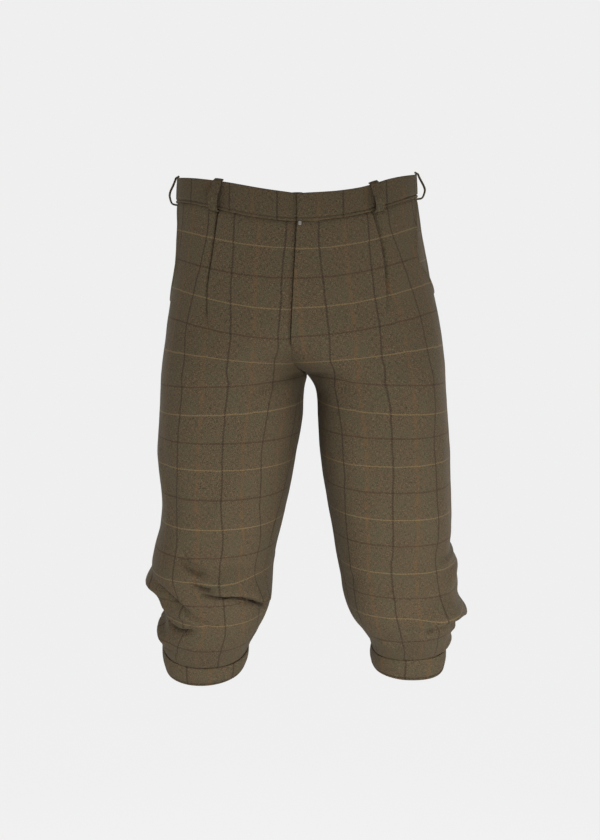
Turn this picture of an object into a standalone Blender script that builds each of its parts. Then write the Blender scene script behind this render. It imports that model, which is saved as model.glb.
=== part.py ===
"""Knee breeches in tweed, filled out as when worn, with nobody in them.

Metres, +Z up, front towards -Y, the wearer's left towards +X. The origin is the middle of the waist
opening, level with the waistband's top edge at the sides.

Each half is a form swept down the garment: a quarter oval from the side seam to the centre seam at the
hips, which turns into half an oval from the side seam to the inseam on the leg. The panels, bands and
loops are walls of cloth on that form. Sizes in the tables are millimetres.
"""

import math
from collections import namedtuple

import bmesh
import bpy
import numpy as np

MM = 0.001

# Cloth
CLOTH = 2.0  # thickness of the tweed
BAND_CLOTH = 3.0  # waistband and knee bands are folded double
SEAM_GAP = 0.3  # between pieces that are sewn together
BEARER_DEPTH = 3.4  # from the middle of a front to the middle of the pocket bearer behind it

# Waistband, as its top edge stands over the seam to the panels
Top = namedtuple("Top", "across z")
BAND_TOP = {  # the top edge of the waistband at the front, from the side to the centre
    "right": [Top(0, -7.0), Top(0.43, -14.5), Top(0.61, -20.5), Top(0.84, -31.0), Top(1, -37.0)],
    "left": [Top(0, -1.5), Top(0.46, -15.0), Top(0.67, -28.5), Top(0.77, -32.5), Top(1, -37.0)],
}
BAND_TOP_BACK = -21.0
BAND_TOP_CURVE = 2.3
BAND_TOP_IN = 1.5  # the top edge lies this much further in
BAND_UNDERLAP = 30.0
BAND_UNDERLAP_END = 0.5  # where the underlap's last column lies, past the centre front
BAND_STEPS = (0.6, 1.6)  # how far before the centre front the half steps down to its underlap

# Fly. The right front runs in behind the left one: how far past the centre, and how deep, for each column.
UNDERLAP_STEPS = ((-1.8, 0.0), (-0.8, 2.4), (2.0, 2.5), (14.0, 3.4))
FLY_END = 245.0  # depth at which the underlap ends
FLY_CLOSED = 265.0  # depth at which the two fronts meet edge to edge

# Belt loops
LOOP_WIDTH = 15.0
LOOP_CLOTH = 2.0
LOOP_BELOW_SEAM = 4.0
LOOP_SHAPE = 0.7  # under 1 makes a loop stand off squarely

# Knee bands
CUFF_SWELL = 1.5

# Zip slider
SLIDER_SIZE = (4.0, 2.4, 5.5)
SLIDER_ROUND = 0.6
SLIDER_ACROSS = 0.985
SLIDER_BELOW_SEAM = 0.8

# Knee folds
FOLD_ENDS = 0.35  # share of a fold's length over which each end fades
FOLD_START = 0.15  # how far a fold has faded in at its very end

SIDES = {"right": -1, "left": 1}
FACES = {"front": -1, "back": 1}

# One row for each section of a half. down: side seam, below the origin. out, inner: x of the side seam and
# of the centre seam or inner edge of the leg. front, back: y of the foremost and rearmost points.
# low_front, low_back: depth of the inner end of the front and back. fork: 0 for a hip section, 1 for a leg
# section. drop: how far the front of a leg section lies below its sides, and the back above them.
# turn: degrees by which the inseam lies in front of the leg's innermost line. wedge: how pointed the
# section is where the legs part. lift: how far a hip section is raised halfway round each quarter.
COLUMNS = "down out inner front back low_front low_back fork drop turn wedge lift"
Section = namedtuple("Section", COLUMNS, defaults=(0,))

SECTIONS = {
    "right": [
        Section(42, -167.0, -0.5, -117, 124, 73, 62, 0.00, 0, 0, 0.0, 4.5),
        Section(95, -168.5, -3.0, -124, 139, 125, 113, 0.00, 0, 0, 0.0),
        Section(150, -173.0, -6.0, -129, 148, 182, 167, 0.02, 0, 0, 0.0),
        Section(207, -180.0, -7.5, -136, 153, 236, 222, 0.14, 0, 0, 0.0),
        Section(240, -184.5, -6.0, -136, 152, 260, 250, 0.38, 1, 0, 0.1),
        Section(265, -188.0, 4.0, -129, 142, 272, 266, 0.68, 3, 3, 0.3),
        Section(286, -190.0, 12.5, -119, 128, 278, 278, 1.00, 6, 7, 0.4),
        Section(310, -191.0, 9.5, -118, 123, 297, 297, 1.00, 8, 14, 0.2),
        Section(345, -192.5, 7.0, -118, 118, 338, 338, 1.00, 10, 22, 0.0),
        Section(384, -195.0, 0.0, -117, 113, 380, 380, 1.00, 12, 29, 0.0),
        Section(420, -192.0, -6.5, -116, 109, 415, 415, 1.00, 12, 31, 0.0),
        Section(455, -188.5, -13.5, -115, 106, 449, 449, 1.00, 12, 32, 0.0),
        Section(490, -192.0, -21.0, -114, 101, 483, 483, 1.00, 13, 32, 0.0),
        Section(520, -199.5, -28.5, -115, 97, 513, 513, 1.00, 14, 32, 0.0),
        Section(548, -202.0, -33.5, -118, 95, 541, 541, 1.00, 15, 31, 0.0),
        Section(568, -194.0, -35.0, -119, 95, 562, 562, 1.00, 16, 28, 0.0),
        Section(588, -187.5, -37.0, -116, 93, 585, 585, 1.00, 17, 27, 0.0),
        Section(610, -182.5, -44.0, -106, 91, 609, 609, 1.00, 18, 24, 0.0),
        Section(632, -190.5, -56.0, -88, 89, 634, 634, 1.00, 19, 18, 0.0),
        Section(650, -193.0, -65.0, -66, 84, 652, 652, 1.00, 20, 15, 0.0),
        Section(664, -190.5, -70.0, -50, 76, 666, 666, 1.00, 21, 14, 0.0),
    ],
    "left": [
        Section(34, 166.0, 0.0, -117, 124, 73, 62, 0.00, 0, 0, 0.0),
        Section(88, 174.5, -3.0, -124, 139, 125, 113, 0.00, 0, 0, 0.0),
        Section(145, 185.5, -6.0, -129, 148, 182, 167, 0.02, 0, 0, 0.0),
        Section(203, 197.0, -7.5, -136, 153, 236, 222, 0.14, 0, 0, 0.0),
        Section(238, 202.0, -6.0, -136, 152, 260, 250, 0.38, 1, 0, 0.1),
        Section(264, 205.0, 4.0, -129, 142, 272, 266, 0.68, 3, 0, 0.3),
        Section(287, 206.5, 13.0, -119, 128, 278, 278, 1.00, 6, 0, 0.4),
        Section(310, 208.0, 25.0, -118, 123, 297, 297, 1.00, 8, 0, 0.2),
        Section(345, 210.0, 29.5, -118, 118, 338, 338, 1.00, 10, 0, 0.0),
        Section(384, 212.4, 31.5, -117, 113, 380, 380, 1.00, 12, 2, 0.0),
        Section(420, 213.5, 35.5, -116, 109, 415, 415, 1.00, 12, 6, 0.0),
        Section(455, 215.0, 42.0, -115, 106, 449, 449, 1.00, 12, 10, 0.0),
        Section(490, 215.0, 48.0, -114, 101, 484, 484, 1.00, 12, 14, 0.0),
        Section(518, 213.0, 52.5, -115, 97, 513, 513, 1.00, 12, 18, 0.0),
        Section(542, 219.5, 57.0, -118, 95, 538, 538, 1.00, 12, 20, 0.0),
        Section(564, 223.5, 61.5, -120, 95, 561, 561, 1.00, 12, 22, 0.0),
        Section(586, 222.5, 65.5, -117, 94, 586, 586, 1.00, 12, 24, 0.0),
        Section(608, 224.0, 74.0, -108, 92, 610, 610, 1.00, 12, 24, 0.0),
        Section(630, 218.0, 90.0, -88, 90, 632, 632, 1.00, 11, 20, 0.0),
        Section(650, 214.5, 102.0, -64, 84, 652, 652, 1.00, 9, 16, 0.0),
        Section(666, 210.0, 106.0, -46, 76, 668, 668, 1.00, 8, 14, 0.0),
    ],
}
FORK_ROW = 6

# The lower edge of each knee band. The columns are those of a leg section.
Hem = namedtuple("Hem", "out inner front back low_out low_in drop")
HEMS = {
    "right": Hem(-187.5, -75.0, -38, 82, 691, 688, 23),
    "left": Hem(208.0, 107.5, -32, 82, 695, 691, 13),
}

# Sections added between those above: how many spaces each stretch is cut into, from the waist down.
SPLITS = (2, 2, 2, 1, 1, 1, 1, 1, 2, 1, 1, 1, 1, 2, 2, 2, 2, 2, 2, 1)

# Columns of each piece's grid.
OUTER_COLUMNS = 6  # of a front, from the side seam to the pleat's fold
INNER_COLUMNS = 7  # of a front, from under the fold to the inner edge
BACK_COLUMNS = 13
BEARER_COLUMNS = 5
BAND_COLUMNS = 12
BAND_ROWS = 2
CUFF_COLUMNS = 14
CUFF_ROWS = 2
LOOP_ROWS = 9
SQUARE = 0.26  # flattens the front and back of a leg
HIP_WIDTH = 235.0  # the width of a panel that one unit of across stands for at the waist

# Reverse pleat: the centre part of the front lies over the outer part. across: place on the panel, from 0
# at the side seam to 1 at the centre. depth: how far the outer part runs in underneath.
Pleat = namedtuple("Pleat", "down across depth")
PLEATS = {
    "right": [Pleat(42, 0.575, 16), Pleat(95, 0.545, 12), Pleat(150, 0.525, 7), Pleat(207, 0.545, 0)],
    "left": [Pleat(34, 0.595, 16), Pleat(88, 0.550, 11), Pleat(145, 0.550, 5), Pleat(174, 0.555, 0)],
}
PLEAT_LIP = 2.2  # thickness of the fold where it lies on top
PLEAT_SLOT = 0.4  # open space under the fold
PLEAT_EASE = 28.0  # width over which the outer part rises again from under the fold

# Slanted side pocket: where the mouth's edge lies, from 0 at the side seam.
Mouth = namedtuple("Mouth", "down across")
MOUTHS = {
    "right": [Mouth(42, 0.13), Mouth(95, 0.17), Mouth(150, 0.10), Mouth(178, 0.0)],
    "left": [Mouth(34, 0.14), Mouth(88, 0.24), Mouth(118, 0.27), Mouth(145, 0.12), Mouth(168, 0.0)],
}
BEARER_UNDERLAP = 0.06  # how far the bearer runs on behind the front

# Folds of the knee. Each is a ridge between two places on a panel. rise: height. above, below: reach of its
# two slopes, up and down the leg. sag: how far the ridge hangs down over what lies below it.
Fold = namedtuple("Fold", "side face across_a down_a across_b down_b rise above below sag")
FOLDS = [
    Fold("right", "front", -0.26, 557, 0.24, 570, 13, 20, 18, 2),
    Fold("right", "front", 0.10, 574, 0.54, 600, 6, 14, 10, 3),
    Fold("right", "back", 0.05, 552, 0.46, 538, 9, 24, 12, 6),
    Fold("right", "front", -0.10, 621, 0.28, 633, 6, 12, 14, 2),
    Fold("right", "front", 0.50, 548, 1.06, 580, 8, 26, 10, 5),
    Fold("right", "back", 0.50, 520, 1.00, 548, 7, 16, 12, 3),
    Fold("right", "back", 0.30, 600, 0.95, 590, 8, 18, 10, 5),
    Fold("left", "front", -0.14, 536, 0.34, 552, 5, 18, 16, 2),
    Fold("left", "front", -0.13, 604, 0.55, 602, 14, 30, 12, 4),
    Fold("left", "back", 0.04, 596, 0.46, 580, 10, 22, 10, 5),
    Fold("left", "back", 0.35, 552, 1.00, 566, 7, 18, 12, 3),
    Fold("left", "front", 0.62, 610, 1.00, 612, 5, 14, 8, 4),
]
HALF_GIRTH = 270.0  # the width of a panel that one unit of across stands for at the knee

# Belt loops: side of the garment, place on the waist from 0 at the side seam to 1 at the centre, how far
# the loop stands off the waistband, and how far its lower end lies towards the side seam.
Loop = namedtuple("Loop", "name side face across bow lean")
LOOPS = [
    Loop("loop_front_right", "right", "front", 0.565, 8.0, 4.0),
    Loop("loop_front_left", "left", "front", 0.575, 8.0, 5.0),
    Loop("loop_side_right", "right", "front", 0.0, 8.0, 0.0),
    Loop("loop_side_left", "left", "front", 0.0, 9.0, 0.0),
    Loop("loop_back", "left", "back", 1.0, 6.5, 0.0),
]

TWEED = (0.100, 0.078, 0.046)
TWEED_DARK = (0.080, 0.064, 0.040)
METAL = (0.62, 0.60, 0.55)


def unit(vectors):
    return vectors / np.linalg.norm(vectors, axis=-1, keepdims=True)


def through(knots, values, at):
    """A smooth curve through a table's values, read at the given places."""
    knots = np.asarray(knots, float)
    values = np.asarray(values, float)
    slopes = np.gradient(values, knots)
    at = np.clip(np.asarray(at, float), knots[0], knots[-1])
    low = np.clip(np.searchsorted(knots, at, side="right") - 1, 0, len(knots) - 2)
    span = knots[low + 1] - knots[low]
    u = (at - knots[low]) / span
    start = (1 + 2 * u) * (1 - u) ** 2 * values[low] + u * (1 - u) ** 2 * span * slopes[low]
    end = u * u * (3 - 2 * u) * values[low + 1] - u * u * (1 - u) * span * slopes[low + 1]
    return start + end


def column(rows, name):
    return [getattr(row, name) for row in rows]


def levels(side):
    """The depth of every section that is built, with the table's own sections among them."""
    downs = column(SECTIONS[side], "down")
    found = []
    for top, bottom, count in zip(downs, downs[1:], SPLITS):
        found += [top + (bottom - top) * i / count for i in range(count)]
    return np.array(found + [downs[-1]], float)


def fork_level():
    """The number of the built section in which the legs part."""
    return sum(SPLITS[:FORK_ROW])


def hip_oval(s, face, across, down):
    """A quarter oval from the side seam to the centre seam. s holds a section's values as arrays."""
    quarter = across * math.pi / 2
    x = s["inner"] + (s["out"] - s["inner"]) * np.cos(quarter)
    y = s[face] * np.sin(quarter)
    lift = s["lift"] * np.sin(2 * quarter) ** 2
    z = -down - (s["low_" + face] - down) * np.sin(quarter) ** 2 + lift
    return np.stack((x, y, z), -1)


def leg_oval(s, face, across, down):
    """Half an oval from the side seam to the inseam."""
    way = FACES[face]
    angle = across * (math.pi + way * np.radians(s["turn"]))
    past = np.clip(angle / (math.pi / 2) - 1, 0, 2)
    straight = np.where(past > 0, -np.minimum(past, 2 - past), np.cos(angle))
    swing = (1 - s["wedge"]) * np.cos(angle) + s["wedge"] * straight
    middle_y = (s["front"] + s["back"]) / 2
    x = (s["out"] + s["inner"]) / 2 + (s["out"] - s["inner"]) / 2 * swing
    y = middle_y + (s[face] - middle_y) * np.sin(angle) * (1 + SQUARE * np.cos(angle) ** 2)
    cross_fall = (s["low_" + face] - down) * (1 - np.cos(angle)) / 2
    z = -down - cross_fall + way * s["drop"] * np.sin(angle)
    return np.stack((x, y, z), -1)


def form(side, face, across, down):
    """Points on the middle of the cloth. across and down are arrays of one shape."""
    rows = SECTIONS[side]
    knots = column(rows, "down")
    s = {name: through(knots, column(rows, name), down) for name in Section._fields}
    share = np.clip(s["fork"], 0, 1)[..., None]
    return hip_oval(s, face, across, down) * (1 - share) + leg_oval(s, face, across, down) * share


def slope(offset, reach):
    """1 at the middle, falling smoothly to 0 at the given reach."""
    return np.where(offset < reach, 0.5 + 0.5 * np.cos(math.pi * np.minimum(offset / reach, 1)), 0)


def fold_shift(side, face, across, down):
    """How far the folds lift the cloth from the form, and how far they drop it."""
    rise = np.zeros_like(across)
    sag = np.zeros_like(across)
    for fold in FOLDS:
        if fold.side != side:
            continue
        sign = 1 if fold.face == face else -1
        place = across * sign
        span_x = (fold.across_b - fold.across_a) * HALF_GIRTH
        span_y = fold.down_b - fold.down_a
        length = math.hypot(span_x, span_y)
        from_x = (place - fold.across_a) * HALF_GIRTH
        from_y = down - fold.down_a
        along = (from_x * span_x + from_y * span_y) / length
        over = (from_y * span_x - from_x * span_y) / length
        reach = np.where(over < 0, fold.above, fold.below)
        ends = np.clip(np.minimum(along, length - along) / (FOLD_ENDS * length) + FOLD_START, 0, 1)
        shape = slope(np.abs(over), reach) * ends * ends * (3 - 2 * ends)
        rise += fold.rise * shape
        sag += fold.sag * shape
    return rise, sag


def facing(side, face, points):
    """Unit normals out of the garment for a grid of points, whose columns run from the side seam inwards."""
    along = np.gradient(points, axis=1)
    down = np.gradient(points, axis=0)
    return unit(np.cross(along, down)) * (-SIDES[side] * FACES[face])


def level_facing(side, face, row):
    """Level unit normals along a row of points, which the pieces on both sides of a seam share."""
    along = np.gradient(row, axis=0)
    return unit(np.cross(along, (0.0, 0.0, -1.0))) * (-SIDES[side] * FACES[face])


def meet(a, b):
    """Moves two rows of points or normals that lie at one seam to their mean."""
    mean = (a + b) / 2
    a[...] = mean
    b[...] = mean


def mouth_edge(side):
    rows = MOUTHS[side]
    return np.clip(through(column(rows, "down"), column(rows, "across"), levels(side)), 0, None)


def pleat_lines(side):
    """For each section: where the fold lies, how far the outer part runs in under it, and how open it is."""
    rows = PLEATS[side]
    downs = levels(side)
    across = through(column(rows, "down"), column(rows, "across"), downs)
    depth = np.clip(through(column(rows, "down"), column(rows, "depth"), downs), 0, None)
    depth[downs >= rows[-1].down] = 0
    return across, depth / HIP_WIDTH, np.sqrt(depth / rows[0].depth)


def front_places(side):
    """For each section of a front: the mouth's edge, columns to the fold, two at the fold, the rest."""
    found = []
    for mouth, fold, depth in zip(mouth_edge(side), *pleat_lines(side)[:2]):
        outer = np.linspace(mouth, fold, OUTER_COLUMNS + 1)
        inner = np.linspace(fold + depth, 1, INNER_COLUMNS + 1)
        found.append(np.concatenate((outer, inner)))
    return np.array(found)


def cloth_grids():
    """Points and normals of the four panels, which meet at the seams."""
    points, normals = {}, {}
    for side in SIDES:
        for face in FACES:
            places = front_places(side) if face == "front" else np.linspace(0, 1, BACK_COLUMNS + 1)
            downs = levels(side)[:, None]
            places, downs = np.broadcast_arrays(places, downs)
            grid = form(side, face, places, downs)
            rise, sag = fold_shift(side, face, places, downs)
            grid = grid + facing(side, face, grid) * rise[..., None]
            grid[..., 2] -= sag
            points[side, face] = grid
            normals[side, face] = facing(side, face, grid)
            for end in (0, -1):
                normals[side, face][end] = level_facing(side, face, grid[end])
        for found in (points[side, "front"], normals[side, "front"]):
            shut = pleat_lines(side)[1] == 0
            found[shut, OUTER_COLUMNS + 1] = found[shut, OUTER_COLUMNS]
    legs = slice(fork_level(), None)
    hips = slice(0, fork_level() + 1)
    for side in SIDES:
        closed = mouth_edge(side) <= 0
        for found in (points, normals):
            front, back = found[side, "front"], found[side, "back"]
            mean = (front[closed, 0] + back[closed, 0]) / 2
            front[closed, 0] = mean
            back[closed, 0] = mean
            meet(front[legs, -1], back[legs, -1])
    for face in FACES:
        meet(normals["right", face][hips, -1], normals["left", face][hips, -1])
    for found in normals.values():
        found[...] = unit(found)
    return points, normals


def open_seams(side, points):
    """Moves a panel's edges back from its seams by half the gap."""
    half = SEAM_GAP / 2
    first = unit(points[:, 1] - points[:, 0])
    last = unit(points[:, -2] - points[:, -1])
    points[:, 0] += first * half
    points[fork_level() :, -1] += last[fork_level() :] * half
    points[: fork_level() + 1, -1, 0] += SIDES[side] * half
    points[-1, :, 2] += half
    points[0, :, 2] -= half


class Wall:
    """A closed mesh in millimetres whose points are joined where they coincide."""

    def __init__(self):
        self.mesh = bmesh.new()
        self.known = {}

    def vertex(self, point):
        key = tuple(round(float(value), 4) for value in point)
        if key not in self.known:
            self.known[key] = self.mesh.verts.new([value * MM for value in key])
        return self.known[key]

    def face(self, points):
        corners = list(dict.fromkeys(self.vertex(point) for point in points))
        if len(corners) > 2:
            self.mesh.faces.new(corners)

    def strips(self, grid, flip):
        for upper, lower in zip(grid, grid[1:]):
            for j in range(len(upper) - 1):
                corners = [upper[j], upper[j + 1], lower[j + 1], lower[j]]
                self.face(corners[::-1] if flip else corners)

    def rim(self, outer, inner, flip):
        """Closes the space between two lines of points, one from each face of the wall."""
        for j in range(len(outer) - 1):
            corners = [outer[j + 1], outer[j], inner[j], inner[j + 1]]
            self.face(corners[::-1] if flip else corners)

    def make(self, name, colour, rough=0.95, metal=0.0):
        bmesh.ops.triangulate(self.mesh, faces=self.mesh.faces[:])
        bmesh.ops.recalc_face_normals(self.mesh, faces=self.mesh.faces[:])
        data = bpy.data.meshes.new(name)
        self.mesh.to_mesh(data)
        self.mesh.free()
        data.shade_smooth()
        data.set_sharp_from_angle(angle=math.radians(50))
        data.materials.append(finish(name, colour, rough, metal))
        made = bpy.data.objects.new(name, data)
        bpy.context.collection.objects.link(made)
        return made


def finish(name, colour, rough, metal):
    material = bpy.data.materials.new(name)
    material.use_nodes = True
    shader = material.node_tree.nodes["Principled BSDF"]
    shader.inputs["Base Color"].default_value = (*colour, 1)
    shader.inputs["Roughness"].default_value = rough
    shader.inputs["Metallic"].default_value = metal
    return material


def plain_wall(name, middle, normals, height, thick, colour, ring=False):
    """A wall about a grid of points. height: how far its middle lies out from them."""
    out = np.broadcast_to(np.asarray(height, float), middle.shape[:2])[..., None]
    outer = middle + normals * (out + thick / 2)
    inner = middle + normals * (out - thick / 2)
    wall = Wall()
    wall.strips(outer, False)
    wall.strips(inner, True)
    wall.rim(outer[0], inner[0], False)
    wall.rim(outer[-1], inner[-1], True)
    if not ring:
        wall.rim(outer[:, 0], inner[:, 0], True)
        wall.rim(outer[:, -1], inner[:, -1], False)
    return wall.make(name, colour)


def pleat_heights(side, places):
    """How far the outer part of a front lies below the form, sinking towards the fold."""
    fold, _, opening = (values[:, None] for values in pleat_lines(side))
    away = (fold - places) * HIP_WIDTH
    sink = (PLEAT_LIP + PLEAT_SLOT) * opening
    return np.where(away >= -0.01, -sink * slope(np.clip(away, 0, None), PLEAT_EASE), 0)


def front_panel(side, points, normals, left_points):
    """A front with its reverse pleat. The right one has an underlap behind the left one at the fly."""
    places = front_places(side)
    heights = pleat_heights(side, places)
    opening = pleat_lines(side)[2]
    points = points.copy()
    open_seams(side, points)
    if side == "right":
        points, normals, heights = add_underlap(points, normals, heights, left_points)
    k = OUTER_COLUMNS
    wall = Wall()
    layers = []
    for row, normal, height, scale in zip(points, normals, heights, opening):
        outer = row + normal * (height + CLOTH / 2)[:, None]
        inner = row + normal * (height - CLOTH / 2)[:, None]
        sink = (PLEAT_LIP + PLEAT_SLOT) * scale
        under = outer[k + 1] - normal[k + 1] * sink
        lip_under = [row[j] + normal[j] * (CLOTH / 2 - PLEAT_LIP * scale) for j in (k, k + 1)]
        lip_top = [row[j] + normal[j] * CLOTH / 2 for j in (k, k + 1)]
        inner[k + 1] = inner[k + 1] - normal[k + 1] * sink
        layers.append((outer[: k + 1], under, lip_under[::-1], lip_top, outer[k + 2 :], inner))
    paths = [np.array([*a, b, *c, *d, *e]) for a, b, c, d, e, _ in layers]
    inners = [layer[5] for layer in layers]
    wall.strips(paths, False)
    wall.strips(inners, True)
    for number, flip in ((0, False), (-1, True)):
        pleat_rim(wall, layers[number], flip)
    wall.rim([p[0] for p in paths], [p[0] for p in inners], True)
    wall.rim([p[-1] for p in paths], [p[-1] for p in inners], False)
    return wall.make("front_" + side, TWEED)


def pleat_rim(wall, layer, flip):
    """The end of a pleated wall, with the slot under the fold left open."""
    outer, under, lip_under, lip_top, rest, inner = layer
    k = OUTER_COLUMNS
    wall.rim(outer, inner[: k + 1], flip)
    wall.rim([outer[k], under], inner[k : k + 2], flip)
    wall.rim(lip_top, lip_under[::-1], flip)
    wall.rim(rest, inner[k + 2 :], flip)
    corners = [rest[0], lip_top[1], lip_under[0], under, inner[k + 1]]
    for a, b in zip(corners, corners[1:]):
        triangle = [a, b, inner[k + 2]]
        wall.face(triangle[::-1] if flip else triangle)


def add_underlap(points, normals, heights, left_points):
    """Four columns beyond the right front's centre edge, which step down and run behind the left front."""
    lows = -points[:, -1, 2]
    reaches = lows < FLY_END
    sinks = lows < FLY_CLOSED
    edge, normal = points[:, -1], normals[:, -1]
    inward = unit(points[:, -2] - edge)
    onward = unit(left_points[:, -2] - left_points[:, -1])
    steps = []
    for number, (distance, depth) in enumerate(UNDERLAP_STEPS):
        short_distance, short_depth = UNDERLAP_STEPS[min(number, 1)]
        distance = np.where(reaches, distance, short_distance) * sinks
        depth = np.where(reaches, depth, short_depth) * sinks
        along = np.where(distance[:, None] < 0, -inward, onward) * distance[:, None]
        steps.append((edge + along, normal, -depth))
    points = np.concatenate((points[:, :-1], np.stack([s[0] for s in steps], 1)), 1)
    normals = np.concatenate((normals[:, :-1], np.stack([s[1] for s in steps], 1)), 1)
    heights = np.concatenate((heights[:, :-1], np.stack([s[2] for s in steps], 1)), 1)
    return points, normals, heights


def back_panel(side, points, normals):
    points = points.copy()
    open_seams(side, points)
    return plain_wall("back_" + side, points, normals, 0, CLOTH, TWEED)


def pocket_bearer(side):
    """The cloth behind the pocket's mouth, from the side seam to a little way behind the front."""
    edge = mouth_edge(side)
    rows = int(np.argmax(edge <= 0)) + 1
    far = np.linspace(0, 1, BEARER_COLUMNS + 1)[None, :] * (edge[:rows, None] + BEARER_UNDERLAP)
    places, downs = np.broadcast_arrays(far, levels(side)[:rows, None])
    grid = form(side, "front", places, downs)
    normals = facing(side, "front", grid)
    grid[:, 0] += unit(grid[:, 1] - grid[:, 0]) * SEAM_GAP / 2
    grid[0, :, 2] -= SEAM_GAP / 2
    return plain_wall("pocket_bearer_" + side, grid, normals, -BEARER_DEPTH, CLOTH, TWEED_DARK)


def band_points(side, face, across, up):
    """The waistband's middle. up: 0 at the seam to the panels, 1 at the top edge."""
    top_row = SECTIONS[side][0]
    seam = form(side, face, across, np.full_like(across, top_row.down))
    edge = BAND_TOP[side]
    sweep = np.abs(np.sin(across * math.pi / 2)) ** BAND_TOP_CURVE
    at_front = through(column(edge, "across"), column(edge, "z"), across)
    at_back = edge[0].z + (BAND_TOP_BACK - edge[0].z) * sweep
    top = seam.copy()
    top[..., :2] *= 1 - BAND_TOP_IN / np.linalg.norm(seam[..., :2], axis=-1, keepdims=True)
    top[..., 2] = at_front if face == "front" else at_back
    seam[..., 2] += SEAM_GAP / 2
    return seam + (top - seam) * up[..., None]


def band_grid(side):
    """The points and normals of half a waistband, from the centre front round to the centre back."""
    ups = np.linspace(1, 0, BAND_ROWS + 1)[:, None]
    halves, facings = [], []
    for face in FACES:
        places, up = np.broadcast_arrays(np.linspace(0, 1, BAND_COLUMNS + 1), ups)
        grid = band_points(side, face, places, up)
        halves.append(grid)
        facings.append(facing(side, face, grid))
        facings[-1][-1] = level_facing(side, face, grid[-1])
    meet(facings[0][:, 0], facings[1][:, 0])
    points = np.concatenate((halves[0][:, ::-1], halves[1][:, 1:]), 1)
    normals = unit(np.concatenate((facings[0][:, ::-1], facings[1][:, 1:]), 1))
    for end in (0, -1):
        normals[:, end, 0] = 0
    return points, unit(normals)


def waistband(side):
    points, normals = band_grid(side)
    heights = np.zeros(points.shape[:2])
    points[:, -1, 0] += SIDES[side] * SEAM_GAP / 2
    if side == "left":
        points[:, 0, 0] += SEAM_GAP / 2
        return plain_wall("waistband_left", points, normals, heights, BAND_CLOTH, TWEED)
    other_points, other_normals = band_grid("left")
    under = BAND_CLOTH + SEAM_GAP
    columns = []
    for distance in (BAND_UNDERLAP, BAND_UNDERLAP / 2, BAND_UNDERLAP_END):
        place = distance / HIP_WIDTH * BAND_COLUMNS
        share = place - int(place)
        low, high = int(place), int(place) + 1
        spot = other_points[:, low] * (1 - share) + other_points[:, high] * share
        turn = other_normals[:, low] * (1 - share) + other_normals[:, high] * share
        columns.append((spot, unit(turn), -under))
    step = unit(points[:, 1] - points[:, 0])
    columns.append((points[:, 0] + step * BAND_STEPS[0], normals[:, 0], -under))
    columns.append((points[:, 0] + step * BAND_STEPS[1], normals[:, 0], 0.0))
    points = np.concatenate((np.stack([c[0] for c in columns], 1), points[:, 1:]), 1)
    normals = np.concatenate((np.stack([c[1] for c in columns], 1), normals[:, 1:]), 1)
    heights = np.concatenate((np.full((BAND_ROWS + 1, len(columns)), 0.0), heights[:, 1:]), 1)
    heights[:, : len(columns)] = [c[2] for c in columns]
    return plain_wall("waistband_right", points, normals, heights, BAND_CLOTH, TWEED)


def knee_band(side):
    """The band round the end of a leg, from the panels' lower edge to the hem."""
    hem = HEMS[side]
    last = SECTIONS[side][-1]
    seam, edge = [], []
    for face in ("front", "back"):
        places = np.linspace(0, 1, CUFF_COLUMNS + 1)
        low = {"low_front": hem.low_in, "low_back": hem.low_in, "wedge": 0.0, "turn": last.turn}
        s = {**hem._asdict(), **low}
        upper = form(side, face, places, np.full_like(places, last.down))
        lower = leg_oval(s, face, places, hem.low_out)
        order = slice(None) if face == "front" else slice(-2, 0, -1)
        seam.append(upper[order])
        edge.append(lower[order])
    seam, edge = np.concatenate(seam), np.concatenate(edge)
    seam[:, 2] -= SEAM_GAP / 2
    share = np.linspace(0, 1, CUFF_ROWS + 1)[:, None, None]
    grid = seam + (edge - seam) * share
    along = np.roll(grid, -1, 1) - np.roll(grid, 1, 1)
    normals = unit(np.cross(along, np.gradient(grid, axis=0))) * SIDES[side]
    normals[0] = unit(np.cross(along[0], (0.0, 0.0, -1.0))) * SIDES[side]
    swell = CUFF_SWELL * np.sin(math.pi * share[..., 0]) * np.ones(grid.shape[:2])
    closed = [np.concatenate((a, a[:, :1]), 1) for a in (grid, normals)]
    swell = np.concatenate((swell, swell[:, :1]), 1)
    return plain_wall("knee_band_" + side, *closed, swell, BAND_CLOTH, TWEED, ring=True)


def belt_loop(loop):
    """A strap that stands off the waistband between its top edge and a little below its seam."""
    seam = SECTIONS[loop.side][0].down
    length = BAND_TOP[loop.side][0].z + seam
    share = np.linspace(0, 1, LOOP_ROWS + 1)
    up = 1 - share * (1 + LOOP_BELOW_SEAM / length)
    grid = []
    for place in (-LOOP_WIDTH / 2, 0.0, LOOP_WIDTH / 2):
        across = loop.across + (place - loop.lean * share) / HIP_WIDTH
        on_band = band_points(loop.side, loop.face, across, up)
        on_panel = form(loop.side, loop.face, across, seam - up * length)
        grid.append(np.where(up[:, None] < 0, on_panel, on_band))
    grid = np.stack(grid, 1)
    normals = facing(loop.side, loop.face, grid)
    clear = (BAND_CLOTH + LOOP_CLOTH) / 2 + SEAM_GAP
    stand = clear + loop.bow * np.sin(math.pi * share) ** LOOP_SHAPE
    return plain_wall(loop.name, grid, normals, stand[:, None], LOOP_CLOTH, TWEED)


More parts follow.
